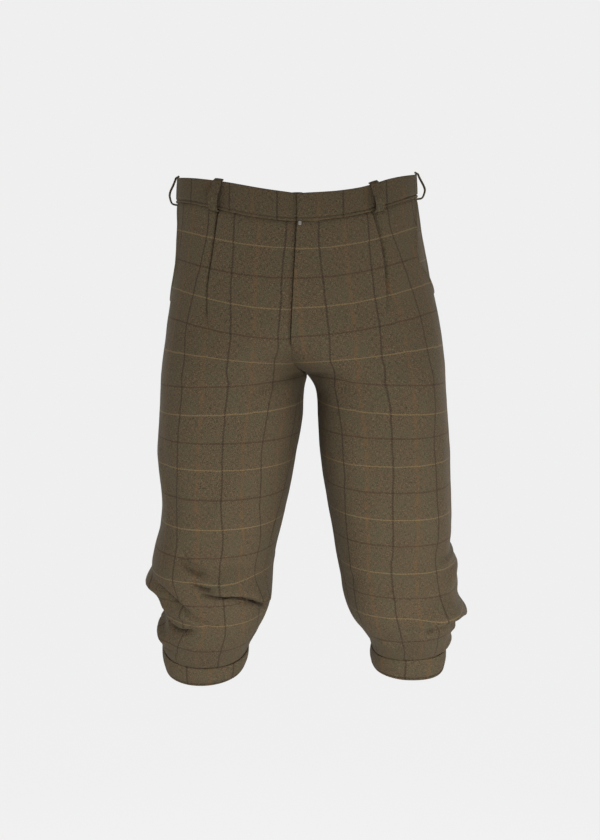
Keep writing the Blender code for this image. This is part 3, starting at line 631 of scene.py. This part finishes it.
def back_grain(side, base, downs):
    """The distance along the weave from a back's grain line, which hangs straight to the thigh."""
    steps = np.linalg.norm(np.diff(base, axis=1), axis=-1)
    run = np.concatenate((np.zeros((len(downs), 1)), np.cumsum(steps, axis=1)), 1)
    inward = -base[..., 0] * SIDES[side]
    line = inward[:, BACK_COLUMNS // 2].copy()
    line[downs < GRAIN_FROM] = np.interp(GRAIN_FROM, downs, line)
    near = slice(GRAIN_REACH)
    at_line = [np.interp(line[i], inward[i, near], run[i, near]) for i in range(len(downs))]
    return run - np.array(at_line)[:, None]


def back_panel(side, material):
    downs = cloth_rows(side)
    places, levels = np.broadcast_arrays(np.linspace(0, 1, BACK_COLUMNS + 1), downs[:, None])
    seams = side_dip(places * HIP_WIDTH) + side_dip((1 - places) * HIP_WIDTH)
    heights = seams + band_dip(side, levels)
    points, spread = lay_cloth(side, "back", places, levels, heights)
    normals = facing(side, "back", points, spread)
    across = back_grain(side, form(side, "back", places, levels), downs)
    down = np.broadcast_to(weft_map(side, downs)[:, None], places.shape)
    points, normals, weave = tucked_rows(points, normals, np.stack((across, down), -1))
    return sheet_mesh("cloth_back_" + side, points, normals, weave, material)


def pocket_bearer(side, material):
    """The cloth behind a pocket's mouth."""
    rows = MOUTHS[side]
    downs = np.linspace(rows[0].down, rows[-1].down + BEARER_BELOW, BEARER_ROWS)
    share = np.linspace(0, 1, BEARER_COLUMNS)
    far = share[None, :] * (mouth_at(side, downs)[:, None] + BEARER_UNDERLAP)
    places, levels = np.broadcast_arrays(far, downs[:, None])
    near = np.maximum(slope(places * HIP_WIDTH, BEARER_SIDE), slope(levels - rows[0].down, BEARER_TOP))
    heights = (BEARER_DEPTH - BEARER_NEAR) * near - BEARER_DEPTH
    points, normals = lay_cloth(side, "front", places, levels, heights)
    weave = np.stack((places * HIP_WIDTH - BEARER_WARP, levels), -1)
    return sheet_mesh("cloth_bearer_" + side, points, normals, weave, material)


def band_points(side, face, across, up):
    """The waistband's middle. up: 0 at the seam to the panels, 1 at the top edge."""
    seam = form(side, face, across, np.full_like(across, SECTIONS[side][0].down))
    edge = BAND_TOP[side]
    sweep = np.abs(np.sin(across * math.pi / 2)) ** BAND_TOP_CURVE
    at_front = through(column(edge, "across"), column(edge, "z"), across)
    at_back = edge[0].z + (BAND_TOP_BACK - edge[0].z) * sweep
    top = seam.copy()
    top[..., :2] *= 1 - BAND_TOP_IN / np.linalg.norm(seam[..., :2], axis=-1, keepdims=True)
    top[..., 2] = at_front if face == "front" else at_back
    return seam + (top - seam) * up[..., None]


# The section of a band, from the edge beside its stitches up the outside and down the inside. up: share of
# the height. out: share of half the thickness.
Rim = namedtuple("Rim", "up out")
BAND_SECTION = table(
    Rim,
    (0, 0.55), (0.006, 0.9), (0.03, 1), (0.075, 0.98), (0.096, 0), (0.118, 0), (0.145, 0.98),
    (0.25, 1.06), (0.4, 1.12), (0.55, 1.12), (0.7, 1.08), (0.85, 1), (0.94, 0.98), (0.975, 0.8),
    (0.994, 0.45), (1, 0), (0.994, -0.45), (0.975, -0.8), (0.94, -1), (0.6, -1), (0.3, -1),
    (0.03, -1), (0, -0.6),
)
BAND_UPS, BAND_OUTS = (np.array(column(BAND_SECTION, name)) for name in Rim._fields)


def loft(name, rings, weave, material):
    """A closed solid through a row of closed sections, capped at both ends."""
    count, size = rings.shape[:2]
    index = np.arange(count * size).reshape(count, size)
    faces = []
    for i in range(count - 1):
        for j in range(size):
            k = (j + 1) % size
            faces.append([int(n) for n in (index[i, j], index[i + 1, j], index[i + 1, k], index[i, k])])
    faces.append([int(n) for n in index[0]])
    faces.append([int(n) for n in index[-1][::-1]])
    return solid_mesh(name, rings.reshape(-1, 3), faces, weave.reshape(-1, 2), material)


def level_out(points):
    """Level unit normals along a line of points, out of a closed round."""
    along = np.gradient(points, axis=0)
    return unit(np.cross(along, (0, 0, 1)))


BAND_STATIONS = 90
BAND_LINES = {"right": 26.0, "left": -5.0}  # from the centre front to the band's first dark thread
BAND_TOP_LINE = 0.5  # how far its top edge lies below a dark thread
BAND_WEAVE = 39.0  # height of cloth in it
BAND_LAP_REACH = 14.0  # the left half rises over the right within it
BAND_LAP_GAP = 0.1
BAND_MEASURED = 6  # the point of its section that it is measured along
UNDERLAP = 30.0  # how far the right half runs in behind the left
UNDERLAP_BOW = 0.6


def length_along(points):
    """The distance along a line of points from its start."""
    return np.concatenate(([0], np.cumsum(np.linalg.norm(np.diff(points, axis=0), axis=1))))


def underlap(rings, run):
    """Adds the end that runs in behind the other half."""
    end = rings[:1] + np.array((UNDERLAP, 0, 0))
    halfway = rings[:1] + np.array((UNDERLAP / 2, -UNDERLAP_BOW, 0))
    return np.concatenate((end, halfway, rings)), np.concatenate(([-UNDERLAP, -UNDERLAP / 2], run))


def waistband(side, material):
    """Half a waistband, from the centre front to the centre back. The left one laps over."""
    across = np.linspace(0, 1, BAND_STATIONS + 1)
    places, up = np.broadcast_arrays(across[:, None], BAND_UPS)
    front, back = (band_points(side, face, places, up) for face in FACES)
    rings = np.concatenate((front[::-1], back[1:]))
    middle = rings[:, BAND_MEASURED]
    out = level_out(middle) * -SIDES[side]
    out[np.sum(out * middle, axis=1) < 0] *= -1
    run = length_along(middle)
    heights = BAND_OUTS * BAND_CLOTH / 2 + ripple(middle, BAND_WAVES)[:, None]
    lap = SIDES[side] * (BAND_CLOTH / 2 + BAND_LAP_GAP) * slope(run, BAND_LAP_REACH)
    if side == "right":
        lap[0] -= BAND_CLOTH / 2
    rings = rings + out[:, None] * (heights + lap[:, None])[..., None]
    if side == "right":
        rings, run = underlap(rings, run)
    across = np.broadcast_to((run - BAND_LINES[side])[:, None], rings.shape[:2])
    down = np.broadcast_to(BAND_WEAVE * (1 - BAND_UPS) + BAND_TOP_LINE, rings.shape[:2])
    return loft("cloth_waistband_" + side, rings, np.stack((across, down), -1), material)


CUFF_STATIONS = 70
CUFF_LINES = {"right": 106.0, "left": 133.5}  # from the inseam round the front to the first dark thread
CUFF_TOP_LINE = 4.0  # how far its top edge lies below a dark thread
CUFF_SWELL = 1.2  # how far its outside is rounded out


def knee_band(side, material):
    """The band round the end of a leg. Its ends meet at the inseam."""
    hem = HEMS[side]
    last = SECTIONS[side][-1]
    shape = dict(hem._asdict(), low_front=hem.low_in, low_back=hem.low_in, wedge=0.0, turn=last.turn)
    places = np.linspace(0, 1, CUFF_STATIONS + 1)
    tops = [form(side, face, places, np.full_like(places, last.down)) for face in FACES]
    lows = [leg_oval(shape, face, places, hem.low_out) for face in FACES]
    top, low = (np.concatenate((front[::-1], back[1:])) for front, back in (tops, lows))
    out = level_out(top)
    out[np.sum(out * (top - top.mean(0)), axis=1) < 0] *= -1
    fall = unit(low - top)
    out = unit(out - fall * np.sum(out * fall, axis=1, keepdims=True))
    rings = top[:, None] + (low - top)[:, None] * (1 - BAND_UPS[:, None])
    swell = CUFF_SWELL * np.sin(math.pi * BAND_UPS) * (BAND_OUTS > 0)
    heights = BAND_OUTS * BAND_CLOTH / 2 + swell + ripple(top, CUFF_WAVES)[:, None]
    rings = rings + out[:, None] * heights[..., None]
    size = np.linalg.norm(low - top, axis=1)
    across = np.broadcast_to((length_along(top) - CUFF_LINES[side])[:, None], rings.shape[:2])
    weave = np.stack((across, CUFF_TOP_LINE + size[:, None] * (1 - BAND_UPS)), -1)
    return loft("cloth_knee_band_" + side, rings, weave, material)


# bow: how far a belt loop stands off. lean: how far its lower end lies towards the side seam.
Loop = namedtuple("Loop", "name side face across bow lean")
LOOPS = [
    Loop("loop_front_right", "right", "front", 0.565, 8, 4),
    Loop("loop_front_left", "left", "front", 0.575, 8, 5),
    Loop("loop_side_right", "right", "front", 0, 8, 0),
    Loop("loop_side_left", "left", "front", 0, 9, 0),
    Loop("loop_back", "left", "back", 1, 6.5, 0),
]
# The section of a loop. spot: share of half its width. thick: share of its thickness.
Strap = namedtuple("Strap", "spot thick")
LOOP_SECTION = table(
    Strap,
    (-1, 0), (-0.93, 0.75), (-0.75, 0.7), (-0.5, 1), (0, 1), (0.5, 1), (0.75, 0.7), (0.93, 0.75), (1, 0),
)
LOOP_WIDTH = 14.0
LOOP_STATIONS = 48
LOOP_GAP = 0.2  # between a loop and the band
LOOP_BELOW_SEAM = 1.0
LOOP_OVER = 2.4  # how far a loop stands over the band's top edge
LOOP_TURN = 0.08  # share of its length over which an end turns in
LOOP_TUCK = 2.6  # how far its lower end sinks in
LOOP_LOW = 1.9  # over 1 makes it stand off most below its middle
LOOP_FULL = 0.8  # under 1 makes it stand off squarely
LOOP_SAG = 3.0  # how far it hangs down before its lower end
LOOP_SAG_AT = 0.92  # share of its length where it hangs lowest
LOOP_SAG_REACH = 0.16
LOOP_LINE = 20.0  # from a dark thread along it to its middle
LOOP_TOP_LINE = 6.0  # from a dark thread across it to its top
LOOP_WEAVE = 28.0  # length of cloth in it


def loop_places(loop, share):
    """The places behind a loop, on the waistband and, below its seam, on the panel."""
    seam = SECTIONS[loop.side][0].down
    length = BAND_TOP[loop.side][0].z + seam
    top = 1 + LOOP_OVER / length
    up = top - share * (top + LOOP_BELOW_SEAM / length)
    lines = []
    for spot in column(LOOP_SECTION, "spot"):
        across = loop.across + (spot * LOOP_WIDTH / 2 - loop.lean * share) / HIP_WIDTH
        on_band = band_points(loop.side, loop.face, across, up)
        on_panel = form(loop.side, loop.face, across, seam - up * length)
        lines.append(np.where(up[:, None] < 0, on_panel, on_band))
    return np.stack(lines, 1)


def belt_loop(loop, material):
    """A doubled strap that bows off the waistband, sewn down at its top edge and below its seam."""
    share = np.linspace(0, 1, LOOP_STATIONS + 1)
    grid = loop_places(loop, share)
    normals = facing(loop.side, loop.face, grid)
    clear = (BAND_CLOTH + LOOP_CLOTH) / 2 + LOOP_GAP
    bow = loop.bow * np.sin(math.pi * share**LOOP_LOW) ** LOOP_FULL
    turned = np.clip(1 - share / LOOP_TURN, 0, 1)
    stand = clear + bow - turned * (clear + BAND_CLOTH / 2) - LOOP_TUCK * slope(1 - share, LOOP_TURN)
    stand = stand[:, None] + ripple(grid, LOOP_WAVES) * np.sin(math.pi * share)[:, None]
    middle = grid + normals * stand[..., None]
    middle[..., 2] -= LOOP_SAG * slope(np.abs(share - LOOP_SAG_AT), LOOP_SAG_REACH)[:, None]
    facing_out = unit(np.cross(np.gradient(middle, axis=1), np.gradient(middle, axis=0)))
    halfway = LOOP_STATIONS // 2
    facing_out = facing_out * np.sign(np.sum(facing_out[halfway] * normals[halfway]))
    half = LOOP_CLOTH / 2 * np.array(column(LOOP_SECTION, "thick"))
    outside = middle + facing_out * half[:, None]
    inside = middle - facing_out * half[:, None]
    rings = np.concatenate((outside, inside[:, -2:0:-1]), 1)
    width = np.array(column(LOOP_SECTION, "spot")) * LOOP_WIDTH / 2
    turns = np.concatenate((width, width[-2:0:-1]))
    weave = np.broadcast_arrays(turns[None, :] + LOOP_LINE, LOOP_TOP_LINE + share[:, None] * LOOP_WEAVE)
    return loft("cloth_" + loop.name, rings, np.stack(weave, -1), material)


# -------- materials


class Nodes:
    """Short ways to add nodes to a material."""

    def __init__(self, name):
        self.material = bpy.data.materials.new(name)
        self.material.use_nodes = True
        self.tree = self.material.node_tree
        self.shader = self.tree.nodes["Principled BSDF"]

    def add(self, kind, **settings):
        node = self.tree.nodes.new("ShaderNode" + kind)
        for name, value in settings.items():
            setattr(node, name, value)
        return node

    def join(self, source, socket):
        self.tree.links.new(source, socket)

    def feed(self, socket, value):
        if isinstance(value, bpy.types.NodeSocket):
            self.join(value, socket)
        else:
            socket.default_value = value

    def math(self, operation, *values):
        node = self.add("Math", operation=operation)
        for socket, value in zip(node.inputs, values):
            self.feed(socket, value)
        return node.outputs[0]

    def times(self, value, other):
        return self.math("MULTIPLY", value, other)

    def mix(self, share, low, high):
        node = self.add("Mix", data_type="RGBA")
        self.feed(node.inputs[0], share)
        self.feed(node.inputs[6], low)
        self.feed(node.inputs[7], high)
        return node.outputs[2]

    def ramp(self, value, low, high):
        """0 below low, 1 above high, smooth between."""
        node = self.add("MapRange", interpolation_type="SMOOTHSTEP")
        for socket, number in zip(node.inputs, (value, low, high, 0.0, 1.0)):
            self.feed(socket, number)
        return node.outputs[0]

    def colours(self, value, stops):
        node = self.add("ValToRGB")
        node.color_ramp.interpolation = "LINEAR"
        band = node.color_ramp.elements
        while len(band) < len(stops):
            band.new(0.5)
        for element, (place, colour) in zip(band, stops):
            element.position = place
            element.color = (*colour, 1)
        self.join(value, node.inputs[0])
        return node.outputs[0]

    def noise(self, vector, scale, detail):
        node = self.add("TexNoise")
        self.join(vector, node.inputs["Vector"])
        node.inputs["Scale"].default_value = scale
        node.inputs["Detail"].default_value = detail
        return node.outputs[0]

    def patches(self, vector, kind):
        """Soft patches: 1 inside them, 0 between them."""
        return self.ramp(self.noise(vector, kind.scale, 3.0), kind.low, kind.high)

    def vector(self, x, y):
        node = self.add("CombineXYZ")
        self.feed(node.inputs[0], x)
        self.feed(node.inputs[1], y)
        return node.outputs[0]

    def stripe(self, place, period, offset, thread):
        """1 on lines a period apart, 0 between. The 20 periods keep all places above 0."""
        shifted = self.math("ADD", place, period * 20 - offset)
        away = self.math("PINGPONG", shifted, period / 2)
        low, high = thread.half - thread.soft, thread.half + thread.soft
        return self.math("SUBTRACT", 1.0, self.ramp(away, low, high))

    def surface(self, **values):
        """Sets the shader's own values, with _ for a space."""
        for name, value in values.items():
            self.shader.inputs[name.replace("_", " ")].default_value = value


GROUND = [  # colours of the yarns that the ground is spun from
    (0.00, (0.020, 0.013, 0.008)),
    (0.37, (0.046, 0.033, 0.019)),
    (0.45, (0.086, 0.063, 0.036)),
    (0.51, (0.108, 0.079, 0.045)),
    (0.56, (0.088, 0.078, 0.046)),
    (0.62, (0.165, 0.116, 0.067)),
    (0.70, (0.205, 0.108, 0.052)),
    (1.00, (0.270, 0.195, 0.115)),
]
GREEN_YARN = (0.082, 0.084, 0.048, 1)
WARM_YARN = (0.120, 0.072, 0.042, 1)
YARN_SHARE = 0.30  # how strongly they colour their patches
YARN = 0.95  # distance between threads
FLECK_LONG = 0.22  # how finely the flecks change along a thread
FLECK_SHORT = 1.1  # the same across it
SWAY = 2.2  # how far threads stray from straight
SWAY_SCALE = 0.05
FUZZ_SCALE = 0.9
TWILL_HEIGHT = 0.6  # beside 1 for the fuzz
TOP_THREAD = 0.55  # how much of a line the other threads hide

Patches = namedtuple("Patches", "scale low high")
GREEN_PATCHES = Patches(0.03, 0.35, 0.70)
WARM_PATCHES = Patches(0.12, 0.42, 0.62)
FAINT_PATCHES = Patches(0.06, 0.38, 0.62)

# The check's lines. half: half the width. soft: blur of the edges. show: how strong the colour is.
Thread = namedtuple("Thread", "half soft show colour")
DARK = Thread(1.25, 0.5, 0.75, (0.030, 0.018, 0.013, 1))
MAROON = Thread(1.1, 0.5, 0.75, (0.052, 0.026, 0.017, 1))
OCHRE = Thread(0.8, 0.4, 0.72, (0.250, 0.172, 0.080, 1))
RUST = Thread(2.6, 0.8, 0.34, (0.185, 0.092, 0.032, 1))
RUST_LEAST = 0.08  # where it is faintest


def weave_places(n):
    """The places along the two threads, in millimetres."""
    uv = n.add("UVMap", uv_map="Weave")
    split = n.add("SeparateXYZ")
    n.join(uv.outputs[0], split.inputs[0])
    u, v = (n.times(split.outputs[axis], 1 / MM) for axis in (0, 1))
    uneven = n.math("SUBTRACT", n.noise(n.vector(u, v), SWAY_SCALE, 2.0), 0.5)
    sway = n.times(uneven, SWAY)
    return n.math("ADD", u, sway), n.math("ADD", v, sway)


def flecks(n, u, v, fine_u, fine_v):
    fine = n.vector(n.times(u, fine_u), n.times(v, fine_v))
    return n.colours(n.noise(fine, 1.0, 2.0), GROUND)


def tweed_ground(n, u, v, twill):
    """Flecked yarns, with greener and warmer patches."""
    warp = flecks(n, u, v, FLECK_SHORT, FLECK_LONG)
    weft = flecks(n, u, v, FLECK_LONG, FLECK_SHORT)
    ground = n.mix(n.ramp(twill, 0.35, 0.65), weft, warp)
    place = n.vector(u, v)
    ground = n.mix(n.patches(place, GREEN_PATCHES), ground, n.mix(YARN_SHARE, ground, GREEN_YARN))
    return n.mix(n.times(n.patches(place, WARM_PATCHES), YARN_SHARE), ground, WARM_YARN)


def window_check(n, colour, u, v, twill):
    """The lines of the check, drawn over the ground."""
    along = n.math("MULTIPLY_ADD", twill, TOP_THREAD, 1 - TOP_THREAD)
    across = n.math("MULTIPLY_ADD", twill, -TOP_THREAD, 1.0)
    rust_show = n.math("MULTIPLY_ADD", n.patches(n.vector(u, v), FAINT_PATCHES), RUST.show, RUST_LEAST)
    lines = (
        (u, CHECK_ACROSS, CHECK_ACROSS / 2, RUST, along, rust_show),
        (v, CHECK_DOWN, CHECK_DOWN / 2, OCHRE, across, OCHRE.show),
        (v, CHECK_DOWN, 0.0, MAROON, across, MAROON.show),
        (u, CHECK_ACROSS, 0.0, DARK, along, DARK.show),
    )
    for place, period, offset, thread, seen, show in lines:
        line = n.times(n.stripe(place, period, offset, thread), seen)
        colour = n.mix(n.times(line, show), colour, thread.colour)
    return colour


def tweed(name, shade):
    """Wool tweed: a twill of flecked yarns under a window check. shade scales all its colour: under 1 it is
    painted shade.
    """
    n = Nodes(name)
    u, v = weave_places(n)
    diagonal = n.times(n.math("ADD", u, v), 2 * math.pi / (4 * YARN))
    twill = n.math("MULTIPLY_ADD", n.math("SINE", diagonal), 0.5, 0.5)
    scaled = n.add("VectorMath", operation="SCALE")
    n.join(window_check(n, tweed_ground(n, u, v, twill), u, v, twill), scaled.inputs[0])
    scaled.inputs["Scale"].default_value = shade
    n.join(scaled.outputs[0], n.shader.inputs["Base Color"])
    bump = n.add("Bump")
    bump.inputs["Strength"].default_value = 0.55
    bump.inputs["Distance"].default_value = 0.0004
    fuzz = n.noise(n.vector(u, v), FUZZ_SCALE, 3.0)
    n.join(n.math("ADD", n.times(twill, TWILL_HEIGHT), fuzz), bump.inputs["Height"])
    n.join(bump.outputs[0], n.shader.inputs["Normal"])
    n.surface(Roughness=0.9, Specular_IOR_Level=0.2, Sheen_Weight=0.06, Sheen_Roughness=0.5)
    n.surface(Sheen_Tint=(0.75, 0.68, 0.55, 1))
    return n.material


def plain_material(name, colour, rough, metal=0.0):
    n = Nodes(name)
    n.surface(Base_Color=(*colour, 1), Roughness=rough, Metallic=metal)
    return n.material


# -------- the object

cloth = tweed("tweed", 1.0)
# The waistband's and belt loops' copy of the same tweed is darkened by a tenth: painted shade, not a darker
# cloth.
shaded_band_cloth = tweed("tweed_bands_painted_shade", 0.90)

# The flat cut of what shows of each piece, in metres, and how it is held.
Cut = namedtuple("Cut", "width length area held")


def declare(piece, node):
    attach(piece, "root")
    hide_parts(node)


for side in SIDES:
    declare(front_panel(side, cloth), "front_" + side)
    declare(back_panel(side, cloth), "back_" + side)
    declare(pocket_bearer(side, cloth), "pocket_bearer_" + side)
    declare(waistband(side, shaded_band_cloth), "waistband_" + side)
    declare(knee_band(side, cloth), "knee_band_" + side)
for loop in LOOPS:
    declare(belt_loop(loop, shaded_band_cloth), loop.name)

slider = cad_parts["zip_slider"]
slider.data.materials.clear()
slider.data.materials.append(plain_material("zip_metal", (0.48, 0.46, 0.42), 0.35, 1.0))

# -------- studio

FLOOR_Z = -1.5
FLOOR_SIZE = 60
FLOOR_GREY = (0.06, 0.06, 0.06)
FLOOR_LIT = 0.02  # what the lamps add to the floor's own light
PALE = 0.863  # what the floor and the background show
SKY = 0.34  # light from above
GROUND_LIGHT = 0.30  # light from below
SKY_HEIGHTS = (-0.6, 0.8)  # directions between which one gives way to the other
# Sides are the wearer's.
Lamp = namedtuple("Lamp", "name place aim_z size power spread")
LAMPS = [
    Lamp("key", (0.4, -1.5, -1.05), -0.66, 0.6, 3.9, 80),
    Lamp("top", (-0.8, -1.4, 0.7), -0.40, 0.6, 4, 180),
    Lamp("side_right", (-1.5, -0.5, -0.60), -0.50, 0.8, 4.2, 180),
    Lamp("side_left", (1.6, -0.5, -0.50), -0.45, 0.8, 6.5, 180),
    Lamp("back_right", (-1.1, 1.6, -0.2), -0.42, 1, 9, 180),
    Lamp("back_left", (1.1, 1.6, -0.2), -0.42, 1, 9, 180),
]
CAMERA_PLACE = Vector((0.0038, -2.2, -0.20))
CAMERA_AIM = Vector((0.0038, 0.0, -0.344))
CAMERA_LENS = 67.35


def pale_floor():
    bpy.ops.mesh.primitive_plane_add(size=FLOOR_SIZE, location=(0, 0, FLOOR_Z))
    floor = bpy.context.object
    floor.name = "floor"
    n = Nodes("floor")
    n.surface(Base_Color=(*FLOOR_GREY, 1), Roughness=1, Specular_IOR_Level=0)
    n.surface(Emission_Color=(1, 1, 1, 1), Emission_Strength=PALE - FLOOR_LIT)
    floor.data.materials.append(n.material)
    floor.visible_diffuse = False
    floor.visible_glossy = False


def studio_world():
    """Pale to the camera, and lit softly from above."""
    world = bpy.data.worlds.new("studio")
    world.use_nodes = True
    nodes = world.node_tree.nodes
    link = world.node_tree.links.new
    direction = nodes.new("ShaderNodeTexCoord")
    split = nodes.new("ShaderNodeSeparateXYZ")
    height = nodes.new("ShaderNodeMapRange")
    height.interpolation_type = "SMOOTHSTEP"
    for socket, value in zip(height.inputs[1:5], (*SKY_HEIGHTS, GROUND_LIGHT, SKY)):
        socket.default_value = value
    path = nodes.new("ShaderNodeLightPath")
    choose = nodes.new("ShaderNodeMix")
    choose.inputs[3].default_value = PALE
    link(direction.outputs["Generated"], split.inputs[0])
    link(split.outputs[2], height.inputs[0])
    link(path.outputs["Is Camera Ray"], choose.inputs[0])
    link(height.outputs[0], choose.inputs[2])
    link(choose.outputs[0], nodes["Background"].inputs[1])
    nodes["Background"].inputs[0].default_value = (1, 1, 1, 1)
    bpy.context.scene.world = world


def studio():
    pale_floor()
    studio_world()
    for lamp in LAMPS:
        light = bpy.data.lights.new(lamp.name, "AREA")
        light.size = lamp.size
        light.energy = lamp.power
        light.spread = math.radians(lamp.spread)
        stand = bpy.data.objects.new(lamp.name, light)
        stand.location = lamp.place
        aim = Vector((0, 0, lamp.aim_z)) - Vector(lamp.place)
        stand.rotation_euler = aim.to_track_quat("-Z", "Y").to_euler()
        bpy.context.collection.objects.link(stand)
    bpy.context.scene.view_settings.view_transform = "Standard"


def camera():
    data = bpy.data.cameras.new("camera")
    data.sensor_width = 36
    data.lens = CAMERA_LENS
    view = bpy.data.objects.new("camera", data)
    view.location = CAMERA_PLACE
    view.rotation_euler = (CAMERA_AIM - CAMERA_PLACE).to_track_quat("-Z", "Y").to_euler()
    bpy.context.collection.objects.link(view)
    bpy.context.scene.camera = view


studio()
camera()

bpy.context.view_layer.update()
